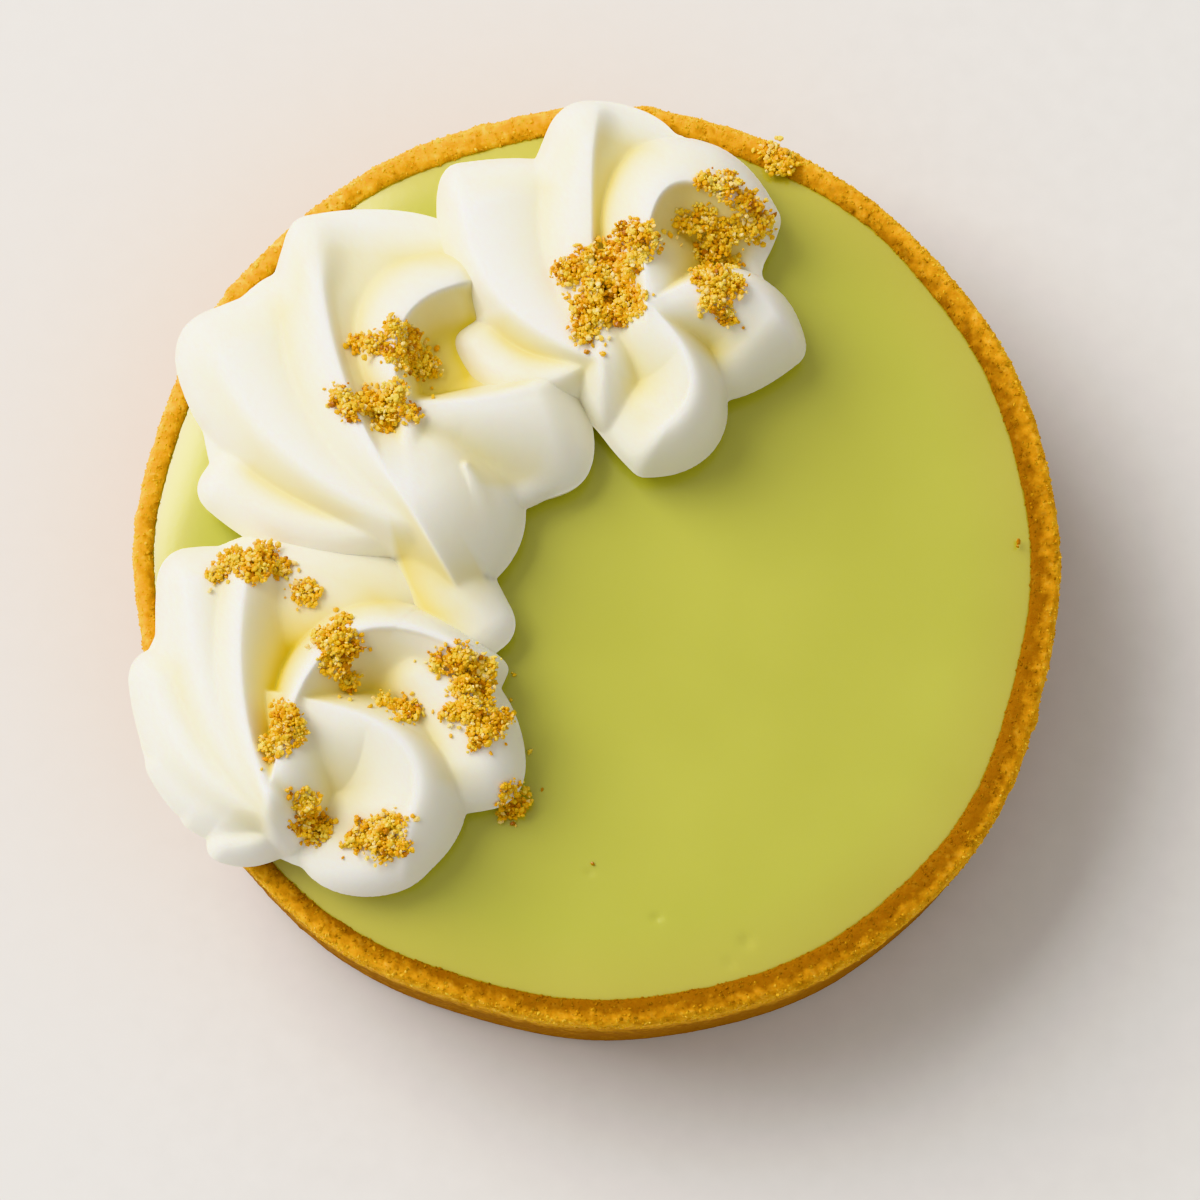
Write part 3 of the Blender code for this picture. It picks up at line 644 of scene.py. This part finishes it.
def pastry_case():
    """Pastry case: a turned profile of floor, inner wall, rounded rim, outer wall and underside, with
    relief along its normals: grains + lumps + slow swells, and nubs on the rim's outer edge."""
    outer = CASE_HALF_WIDTH - CASE_INSET
    inner = CASE_HALF_WIDTH - WALL
    rim_z = CASE_HEIGHT - RIM_ROUNDING
    inner_rim = WALL - CASE_INSET - RIM_EDGE
    profile = np.vstack((
        line((inner - FLOOR_STRIP, BASE), (inner, BASE), 3),
        line((inner, BASE), (inner, rim_z - UPPER_WALL), 4),
        line((inner, rim_z - UPPER_WALL), (inner, CASE_HEIGHT - RIM_RISE), 7),
        arc(inner + inner_rim, CASE_HEIGHT - RIM_RISE, inner_rim, RIM_RISE, 180, 90, 9),
        arc(outer - RIM_EDGE, rim_z, RIM_EDGE, RIM_ROUNDING, 90, 0, 9)[1:],
        line((outer, rim_z), (outer, FOOT_ROUNDING), 36)[1:],
        arc(outer - FOOT_ROUNDING, FOOT_ROUNDING, FOOT_ROUNDING, FOOT_ROUNDING, 0, -90, 3),
        line((outer - UNDERSIDE_RINGS[0], 0), (outer - UNDERSIDE_RINGS[1], 0), 2),
    ))
    rings = turn(profile, CASE_COLUMNS)
    radius = profile[:, :1]
    z = profile[:, 1:]
    opening = np.where(z > BASE / 2, np.clip((CASE_HALF_WIDTH - radius) / WALL, 0, 1), 0.0)
    rings = shape_by_hand(rings, opening)
    grain, number = grain_noise(rings, GRAIN_SIZE, 1)
    lump = value_noise(rings, LUMP_SIZE, 2)
    swell = value_noise(rings, SWELL_SIZE, 3)
    nub, nub_number = grain_noise(rings, NUB_SIZE, 4)
    outward = np.clip((radius - (outer - NUB_WIDTH)) / NUB_WIDTH, 0, 1)
    near_rim = np.clip((z - NUBS_FROM) / (NUBS_FULL - NUBS_FROM), 0, 1)
    tip = np.maximum(nub - (1 - NUB_TIP), 0) / NUB_TIP
    nub = np.where(nub_number > NUB_THRESHOLD, tip, 0) * outward * near_rim
    relief = GRAIN_RELIEF * (grain - MEAN_GRAIN) + LUMP_RELIEF * lump
    relief = relief + SWELL_RELIEF * swell + NUB_RELIEF * nub
    hidden = (radius < inner + 0.1) & (z < rim_z - SMOOTH_INSIDE)
    rough = np.clip((z - SMOOTH_FOOT) / RELIEF_GROWTH, 0, 1) * np.where(hidden, 0, 1)
    rings = rings + grid_normals(rings) * (relief * rough)[..., None]
    rings[..., 2] = np.maximum(rings[..., 2], 0)
    mesh = closed_skin("pastry_case", (0, 0, BASE), rings, (0, 0, 0))
    inwards = np.clip(1 - (radius - inner) / (outer - inner), 0, 1)
    inwards = inwards * np.clip((z - INNER_BAKE_FROM) / INNER_BAKE_RISE, 0, 1)
    bearing = np.arctan2(rings[..., 1], rings[..., 0])
    # Painted shade: the side away from the window light is painted darker, on the wall and more on the rim's
    # inner edge; the rest is the pastry's own browning
    side = 0.5 + 0.5 * np.cos(bearing - math.radians(SHADE_PAINTED_SIDE))
    below = np.clip((BAKED_BELOW - z) / BAKED_DEPTH, 0, 1)
    bake_and_painted_shade = (INNER_BAKE + INNER_PAINTED_SHADE * side) * inwards + PAINTED_SIDE_SHADE * side + WALL_BAKE * below
    set_attribute(mesh, "bake_and_painted_shade", np.concatenate(((0.5,), bake_and_painted_shade.ravel(), (0.3,))))
    set_attribute(mesh, "grain", np.concatenate(((0.5,), grain.ravel(), (0.5,))))
    set_attribute(mesh, "number", np.concatenate(((0.5,), number.ravel(), (0.5,))))
    rim = np.nonzero(z[:, 0] > rim_z - SAND_DEPTH)[0]
    return mesh, rings[rim], bake_and_painted_shade[rim]


def rim_sand(rim, bake_and_painted_shade, draw):
    """Sand baked into the rim: angular grains, partly sunk at random places of its skin, more of them
    towards its outer edge, with radius smallest + (largest - smallest) u^2 for a random u."""
    level = (draw.uniform(0, 1, RIM_GRAINS) ** SAND_GATHERING * len(rim)).astype(int)
    column = draw.integers(0, rim.shape[1], RIM_GRAINS)
    size = draw.uniform(0, 1, RIM_GRAINS) ** 2 * (LARGEST_SAND - SMALLEST_SAND) + SMALLEST_SAND
    middles = rim[level, column] - grid_normals(rim)[level, column] * size[:, None] * SAND_SINK
    mesh, corners = grain_mesh("rim_sand", middles, size, draw)
    # Each grain of sand takes the rim's browning and painted shade at its place
    grain_bake_and_painted_shade = bake_and_painted_shade[level, column] + draw.normal(0, SAND_BAKE_SPREAD, RIM_GRAINS)
    set_attribute(mesh, "bake_and_painted_shade", np.repeat(grain_bake_and_painted_shade, corners))
    set_attribute(mesh, "grain", np.ones(RIM_GRAINS * corners))
    set_attribute(mesh, "number", np.repeat(draw.uniform(0, 1, RIM_GRAINS), corners))
    return mesh


def curd_fill():
    """Lime curd: a slab turned from a flat top that sinks with the square of the way to its edge,
    with faint waves and a few pits, each pit lowering the top by depth exp(-(d / radius)^2)."""
    edge = CASE_HALF_WIDTH - WALL + CURD_OVERLAP
    floor = BASE - CURD_OVERLAP
    flat = edge - CURD_EDGE_WIDTH
    way = np.linspace(0, 1, CURD_EDGE_STEPS)
    profile = np.vstack((
        line((CURD_FIRST_RING, CURD_TOP), (flat, CURD_TOP), CURD_RINGS),
        np.stack((flat + CURD_EDGE_WIDTH * way, CURD_TOP - CURD_EDGE_DROP * way**2), axis=1),
        line((edge, CURD_TOP - CURD_EDGE_DROP), (edge, floor), 3)[1:],
        line((edge, floor), (edge / 2, floor), 1),
    ))
    rings = turn(profile, CURD_COLUMNS)
    rings = shape_by_hand(rings, 1.0)
    top = rings[..., 2] > CURD_TOP - CURD_EDGE_DROP - CURD_SKIN
    wave = CURD_WAVE * value_noise(rings, CURD_WAVE_SIZE, 5) * top
    for x, y, radius, depth in CURD_PITS:
        away = np.hypot(rings[..., 0] - x, rings[..., 1] - y)
        wave = wave - depth * np.exp(-((away / radius) ** 2)) * top
    rings[..., 2] += wave
    mesh = closed_skin("lime_curd_fill", (0, 0, rings[0, :, 2].mean()), rings, (0, 0, floor))
    ring_radius = np.broadcast_to(profile[:, :1], rings.shape[:2])
    near_edge = np.clip(1 - (edge - ring_radius) / CURD_EDGE_WIDTH, 0, 1)
    set_attribute(mesh, "edge", np.concatenate(((0.0,), near_edge.ravel(), (1.0,))))
    return mesh


def lump_places(heaps):
    """Middle and radius of each lump: a sunflower spiral in the heap's ellipse, largest first."""
    places = []
    for middle_x, middle_y, length, width, turn_of_length, lumps in heaps:
        number = np.arange(lumps)
        share = np.sqrt((number + SPIRAL_START) / lumps)
        angle = number * GOLDEN_ANGLE
        along = share * length / 2 * np.cos(angle)
        across = share * width / 2 * np.sin(angle)
        direction = unit(turn_of_length)
        x = middle_x + along * direction[0] - across * direction[1]
        y = middle_y + along * direction[1] + across * direction[0]
        size = LARGEST_LUMP - (LARGEST_LUMP - SMALLEST_LUMP) * number / max(lumps - 1, 1)
        places.append(np.stack((x, y, np.minimum(size, WIDEST_LUMP * width)), axis=1))
    return np.concatenate(places)


def heap_grains(top, draw):
    """Middle, radius and tone of every crumb grain: each lump is a flattened ball of grains set on
    the tart's top, each heap has a few stray grains round it, and a few lie alone on the curd."""
    lumps = np.concatenate([lump_places(heaps) for heaps in CRUMB_HEAPS.values()])
    heaps = np.concatenate([np.array(heaps, float) for heaps in CRUMB_HEAPS.values()])
    grains = np.round(GRAINS_IN_LUMP * (lumps[:, 2] / LARGEST_LUMP) ** 2).astype(int)
    lump = np.repeat(np.arange(len(lumps)), grains)
    away = draw.normal(size=(len(lump), 3))
    away /= np.linalg.norm(away, axis=1)[:, None]
    away *= draw.uniform(LUMP_CORE, 1, (len(lump), 1)) ** 0.5 * LUMP_STRETCH
    x = lumps[lump, 0] + away[:, 0] * lumps[lump, 2] + draw.normal(0, LUMP_SCATTER, len(lump))
    y = lumps[lump, 1] + away[:, 1] * lumps[lump, 2] + draw.normal(0, LUMP_SCATTER, len(lump))
    size = draw.uniform(0, 1, len(lump)) ** 1.5 * (LARGEST_GRAIN - SMALLEST_GRAIN) + SMALLEST_GRAIN
    ground = read_map(top, x, y)
    lump_ground = read_map(top, lumps[:, 0], lumps[:, 1])[lump]
    piled = lump_ground + LUMP_LIFT + np.abs(away[:, 2]) * lumps[lump, 2]
    z = np.maximum(ground + GRAIN_SEAT * size, piled)
    z = np.where(z > ground + HIGHEST_GRAIN, ground + FALLEN_SEAT * size, z)
    heap = np.repeat(np.arange(len(heaps)), STRAYS_IN_HEAP)
    angle = draw.uniform(0, 2 * math.pi, len(heap))
    reach = draw.uniform(*STRAY_REACH, len(heap))
    along = reach * heaps[heap, 2] / 2 * np.cos(angle)
    across = reach * heaps[heap, 3] / 2 * np.sin(angle)
    turned = np.radians(heaps[heap, 4])
    stray_x = heaps[heap, 0] + along * np.cos(turned) - across * np.sin(turned)
    stray_y = heaps[heap, 1] + along * np.sin(turned) + across * np.cos(turned)
    stray_size = draw.uniform(SMALLEST_GRAIN, LARGEST_GRAIN, len(heap))
    stray_z = read_map(top, stray_x, stray_y) + GRAIN_SEAT * stray_size
    lone_x, lone_y, lone_size = np.array(LONE_CRUMBS).T
    lone_z = read_map(top, lone_x, lone_y) + LONE_SEAT * lone_size
    x = np.concatenate((x, stray_x, lone_x))
    y = np.concatenate((y, stray_y, lone_y))
    z = np.concatenate((z, stray_z, lone_z))
    middles = np.stack((x, y, z), axis=1)
    size = np.concatenate((size, stray_size, lone_size))
    tone = 0.5 + 0.5 * value_noise(middles, TONE_PATCH, 6) + draw.normal(0, TONE_SPREAD, len(size))
    tone[-len(LONE_CRUMBS) :] = LONE_TONE
    return middles, size, np.clip(tone, 0, 1)


def grain_mesh(name, middles, sizes, draw):
    """Join many angular grains: each is an icosahedron, whose points reach out unevenly, stretched
    and then turned at random by a unit quaternion. Also returns the number of points in a grain."""
    golden = (1 + math.sqrt(5)) / 2
    corner = np.array([(0, 1, golden), (0, -1, golden), (0, 1, -golden), (0, -1, -golden)], float)
    corner = np.concatenate((corner, np.roll(corner, 1, axis=1), np.roll(corner, 2, axis=1)))
    corner /= math.hypot(1, golden)
    distances = np.linalg.norm(corner[:, None] - corner, axis=-1)
    near = (distances > 0.1) & (distances < 1.1)  # the ends of an edge are 1.05 apart
    i, j, k = np.nonzero(near[:, :, None] & near[:, None, :] & near[None, :, :])
    ordered = (i < j) & (j < k)
    faces = np.stack((i, j, k), axis=1)[ordered]
    normal = np.cross(corner[faces[:, 1]] - corner[faces[:, 0]], corner[faces[:, 2]] - corner[faces[:, 0]])
    inside_out = (normal * corner[faces[:, 0]]).sum(axis=1) < 0
    faces[inside_out] = faces[inside_out][:, ::-1]
    count = len(middles)
    stretch = draw.uniform(*GRAIN_STRETCH, (count, 1, 3))
    jitter = draw.uniform(*GRAIN_JITTER, (count, len(corner), 1))
    shapes = corner * stretch * jitter * sizes[:, None, None]
    w, x, y, z = np.moveaxis(draw.normal(size=(count, 4)), 1, 0)
    norm = np.sqrt(w * w + x * x + y * y + z * z)
    w, x, y, z = w / norm, x / norm, y / norm, z / norm
    rotation = np.stack((
        1 - 2 * (y * y + z * z), 2 * (x * y - w * z), 2 * (x * z + w * y),
        2 * (x * y + w * z), 1 - 2 * (x * x + z * z), 2 * (y * z - w * x),
        2 * (x * z - w * y), 2 * (y * z + w * x), 1 - 2 * (x * x + y * y),
    ), axis=1).reshape(count, 3, 3)
    points = np.einsum("nij,npj->npi", rotation, shapes) + middles[:, None]
    joined = (faces + np.arange(count)[:, None, None] * len(corner)).reshape(-1, 3)
    mesh = bpy.data.meshes.new(name)
    mesh.from_pydata((points.reshape(-1, 3) * MM).tolist(), [], joined.tolist())
    return mesh, len(corner)


def new_material(name):
    """Make a material and return it with its node tree and Principled shader."""
    material = bpy.data.materials.new(name)
    material.use_nodes = True
    return material, material.node_tree, material.node_tree.nodes["Principled BSDF"]


def add_node(tree, kind, inputs=(), **settings):
    """Add a node, apply its settings, and link or set its inputs given as (socket name, value)."""
    node = tree.nodes.new(kind)
    for key, value in settings.items():
        setattr(node, key, value)
    for socket, value in inputs:
        if isinstance(value, bpy.types.NodeSocket):
            tree.links.new(value, node.inputs[socket])
        else:
            node.inputs[socket].default_value = value
    return node


def colour_ramp(tree, factor, stops):
    """Add a colour ramp with stops of (place, colour) and return its colour output."""
    ramp = add_node(tree, "ShaderNodeValToRGB", (("Fac", factor),))
    while len(ramp.color_ramp.elements) < len(stops):
        ramp.color_ramp.elements.new(0.5)
    for element, (place, colour) in zip(ramp.color_ramp.elements, stops):
        element.position = place
        element.color = (*colour, 1.0)
    return ramp.outputs["Color"]


def multiply_colours(tree, first, second):
    """Multiply two colour outputs and return the colour of the product."""
    inputs = ((0, 1.0), (6, first), (7, second))
    return add_node(tree, "ShaderNodeMix", inputs, data_type="RGBA", blend_type="MULTIPLY").outputs[2]


def attribute(tree, name):
    """Output of a number stored on the mesh."""
    return add_node(tree, "ShaderNodeAttribute", attribute_name=name).outputs["Fac"]


def mottle_group():
    """Shader group: noise on object coordinates from 0 to 1, with its size in millimetres."""
    group = bpy.data.node_groups.new("mottle", "ShaderNodeTree")
    group.interface.new_socket("Size", in_out="INPUT", socket_type="NodeSocketFloat")
    group.interface.new_socket("Detail", in_out="INPUT", socket_type="NodeSocketFloat")
    group.interface.new_socket("Value", in_out="OUTPUT", socket_type="NodeSocketFloat")
    inside = group.nodes.new("NodeGroupInput")
    outside = group.nodes.new("NodeGroupOutput")
    place = group.nodes.new("ShaderNodeTexCoord")
    millimetres = ((0, 1 / MM), (1, inside.outputs["Size"]))
    per_metre = add_node(group, "ShaderNodeMath", millimetres, operation="DIVIDE")
    noise = add_node(group, "ShaderNodeTexNoise", (
        ("Vector", place.outputs["Object"]),
        ("Scale", per_metre.outputs[0]),
        ("Detail", inside.outputs["Detail"]),
    ))
    group.links.new(noise.outputs["Fac"], outside.inputs["Value"])
    return group


def mottle(tree, size, detail):
    """Place the mottle group in a material and return its value."""
    node = add_node(tree, "ShaderNodeGroup", node_tree=bpy.data.node_groups["mottle"])
    node.inputs["Size"].default_value = size
    node.inputs["Detail"].default_value = detail
    return node.outputs["Value"]


def bump(tree, height, distance, strength):
    """Add a bump whose height of 0 to 1 spans a distance in metres, and return its normal."""
    inputs = (("Height", height), ("Distance", distance), ("Strength", strength))
    return add_node(tree, "ShaderNodeBump", inputs).outputs["Normal"]


def cream_material():
    """Whipped cream: off-white, with painted shade that makes it darker and yellower in its folds, and a
    soft sheen.
    """
    material, tree, shader = new_material("whipped_cream")
    # Painted shade: darker, yellower colour where the cream sees less sky
    painted_fold_shade = colour_ramp(tree, attribute(tree, "hollow"), (
        (0.03, (0.94, 0.93, 0.885)),
        (0.2, (0.915, 0.885, 0.73)),
        (0.4, (0.87, 0.79, 0.45)),
        (0.7, (0.82, 0.66, 0.1)),
    ))
    tree.links.new(painted_fold_shade, shader.inputs["Base Color"])
    shader.inputs["Roughness"].default_value = 0.5
    shader.inputs["Specular IOR Level"].default_value = 0.35
    shader.inputs["Subsurface Weight"].default_value = 0.2
    shader.inputs["Subsurface Radius"].default_value = (1.0, 0.75, 0.35)
    shader.inputs["Subsurface Scale"].default_value = 0.001
    tree.links.new(bump(tree, mottle(tree, 0.9, 3.0), 0.0001, 0.25), shader.inputs["Normal"])
    return material


def curd_material():
    """Lime curd: yellow-green, smooth and satin."""
    material, tree, shader = new_material("lime_curd")
    shade = colour_ramp(tree, mottle(tree, 22.0, 2.0), (
        (0.3, (0.52, 0.515, 0.06)),
        (0.7, (0.555, 0.55, 0.072)),
    ))
    warmth = colour_ramp(tree, attribute(tree, "edge"), (
        (0.0, (1.0, 1.0, 1.0)),
        (1.0, (1.08, 0.98, 1.15)),
    ))
    tree.links.new(multiply_colours(tree, shade, warmth), shader.inputs["Base Color"])
    shader.inputs["Roughness"].default_value = 0.2
    shader.inputs["IOR"].default_value = 1.6
    shader.inputs["Specular IOR Level"].default_value = 1.0
    shader.inputs["Subsurface Weight"].default_value = 0.2
    shader.inputs["Subsurface Radius"].default_value = (1.0, 0.9, 0.25)
    shader.inputs["Subsurface Scale"].default_value = 0.002
    tree.links.new(bump(tree, mottle(tree, 0.5, 2.0), 0.00005, 0.15), shader.inputs["Normal"])
    return material


def pastry_material():
    """Shortcrust: golden brown, darker where it baked hardest and where shade is painted on the side away
    from the window, with pale grains of sugar.
    """
    material, tree, shader = new_material("shortcrust")
    patches = add_node(tree, "ShaderNodeMath", (
        (0, mottle(tree, 1.2, 4.0)), (1, 0.6), (2, 0.2),
    ), operation="MULTIPLY_ADD")
    # The pastry's browning together with its painted shade on the side away from the window
    bake_and_painted_shade = add_node(tree, "ShaderNodeMath", (
        (0, attribute(tree, "bake_and_painted_shade")), (1, 0.6), (2, patches.outputs[0]),
    ), operation="MULTIPLY_ADD")
    dough = colour_ramp(tree, bake_and_painted_shade.outputs[0], (
        (0.42, (1.0, 0.66, 0.12)),
        (0.58, (1.0, 0.54, 0.06)),
        (0.78, (0.7, 0.33, 0.03)),
        (1.0, (0.34, 0.13, 0.008)),
    ))
    speck = colour_ramp(tree, attribute(tree, "number"), (
        (0.0, (0.94, 0.91, 0.86)),
        (0.75, (1.04, 1.03, 1.0)),
        (0.95, (1.1, 1.2, 1.8)),
    ))
    speckled = multiply_colours(tree, dough, speck)
    # Painted shade: the pastry is painted darker and warmer in the crevices between its grains
    painted_gap_shade = colour_ramp(tree, attribute(tree, "grain"), (
        (0.2, (0.96, 0.9, 0.78)),
        (0.7, (1.0, 1.0, 1.0)),
    ))
    tree.links.new(multiply_colours(tree, speckled, painted_gap_shade), shader.inputs["Base Color"])
    shader.inputs["Roughness"].default_value = 0.75
    shader.inputs["Specular IOR Level"].default_value = 0.1
    shader.inputs["Subsurface Weight"].default_value = 0.35
    shader.inputs["Subsurface Radius"].default_value = (1.0, 0.6, 0.25)
    shader.inputs["Subsurface Scale"].default_value = 0.0008
    tree.links.new(bump(tree, mottle(tree, 0.25, 3.0), 0.00015, 0.4), shader.inputs["Normal"])
    return material


def crumb_material(name, stops, roughness, translucency):
    """Crumb grains: each grain takes its colour from its own tone."""
    material, tree, shader = new_material(name)
    tree.links.new(colour_ramp(tree, attribute(tree, "tone"), stops), shader.inputs["Base Color"])
    shader.inputs["Roughness"].default_value = roughness
    shader.inputs["Specular IOR Level"].default_value = 0.5
    shader.inputs["Subsurface Weight"].default_value = translucency
    shader.inputs["Subsurface Radius"].default_value = (1.0, 0.8, 0.4)
    shader.inputs["Subsurface Scale"].default_value = 0.0002
    tree.links.new(bump(tree, mottle(tree, 0.15, 2.0), 0.00005, 0.3), shader.inputs["Normal"])
    return material


def dress_tart():
    """Make every piece of the tart."""
    mottle_group()
    cream = cream_material()
    shortcrust = pastry_material()
    top = height_map()
    sky = sky_share(top)
    case, rim, rim_bake_and_painted_shade = pastry_case()
    add_piece("pastry_case", case, shortcrust, ("crust",))
    sand = rim_sand(rim, rim_bake_and_painted_shade, np.random.default_rng(7))
    add_piece("rim_sand", sand, shortcrust, ("crust",))
    add_piece("lime_curd_fill", curd_fill(), curd_material(), ("curd",))
    for name, rosette in ROSETTES.items():
        piped = "piped_" + name
        add_piece(piped, piped_rosette(piped, rosette, sky), cream, (name,))
    draw = np.random.default_rng(11)
    middles, sizes, tones = heap_grains(top, draw)
    kind = draw.uniform(0, 1, len(sizes))
    amber = crumb_material("amber_crumb", (
        (0.03, (0.46, 0.16, 0.005)),
        (0.2, (0.84, 0.41, 0.018)),
        (0.5, (0.97, 0.59, 0.045)),
        (0.9, (1.0, 0.76, 0.16)),
    ), 0.35, 0.35)
    sugar = crumb_material("sugar_crumb", (
        (0.1, (1.0, 0.66, 0.14)),
        (0.9, (1.0, 0.84, 0.42)),
    ), 0.25, 0.35)
    pale = (kind > AMBER_SHARE) & (tones != LONE_TONE)
    nodes = tuple(CRUMB_HEAPS)
    for name, chosen, material in (("amber_crumbs", ~pale, amber), ("sugar_crumbs", pale, sugar)):
        mesh, corners = grain_mesh(name, middles[chosen], sizes[chosen], draw)
        set_attribute(mesh, "tone", np.repeat(tones[chosen], corners))
        add_piece(name, mesh, material, nodes)


def add_window():
    """Square area light that faces the tart like a window with a pale sky."""
    light = bpy.data.lights.new("window", "AREA")
    light.shape = "SQUARE"
    light.size = WINDOW_SIZE
    light.energy = WINDOW_POWER
    lamp = bpy.data.objects.new("window", light)
    lamp.location = WINDOW_PLACE
    lamp.rotation_euler = (-Vector(WINDOW_PLACE)).to_track_quat("-Z", "Y").to_euler()
    bpy.context.scene.collection.objects.link(lamp)


def light_studio():
    """Pale floor, soft window light from the left and a gentle fill all round."""
    material, tree, shader = new_material("pale_floor")
    paper = colour_ramp(tree, mottle(tree, 3.0, 3.0), (
        (0.3, (0.79, 0.772, 0.756)),
        (0.7, (0.81, 0.792, 0.776)),
    ))
    tree.links.new(paper, shader.inputs["Base Color"])
    shader.inputs["Roughness"].default_value = 0.8
    mesh = bpy.data.meshes.new("floor")
    corners = [(x * FLOOR_HALF, y * FLOOR_HALF, 0) for x, y in ((-1, -1), (1, -1), (1, 1), (-1, 1))]
    mesh.from_pydata(corners, [], [(0, 1, 2, 3)])
    mesh.materials.append(material)
    floor = bpy.data.objects.new("floor", mesh)
    bpy.context.scene.collection.objects.link(floor)
    add_window()
    world = bpy.data.worlds.new("room")
    world.use_nodes = True
    background = world.node_tree.nodes["Background"]
    background.inputs["Color"].default_value = (*ROOM_COLOUR, 1.0)
    background.inputs["Strength"].default_value = ROOM_STRENGTH
    bpy.context.scene.world = world
    bpy.context.scene.view_settings.view_transform = "Khronos PBR Neutral"


def add_camera():
    """Camera at the tilt and distance above the target."""
    camera = bpy.data.cameras.new("camera")
    camera.lens = CAMERA_LENS
    camera.sensor_width = 36.0
    tilt = math.radians(CAMERA_TILT)
    back = Vector((0, -math.sin(tilt), math.cos(tilt)))
    eye = bpy.data.objects.new("camera", camera)
    eye.location = (Vector(CAMERA_TARGET) + back * CAMERA_DISTANCE) * MM
    eye.rotation_euler = (-back).to_track_quat("-Z", "Y").to_euler()
    bpy.context.scene.collection.objects.link(eye)
    bpy.context.scene.camera = eye


dress_tart()
light_studio()
add_camera()
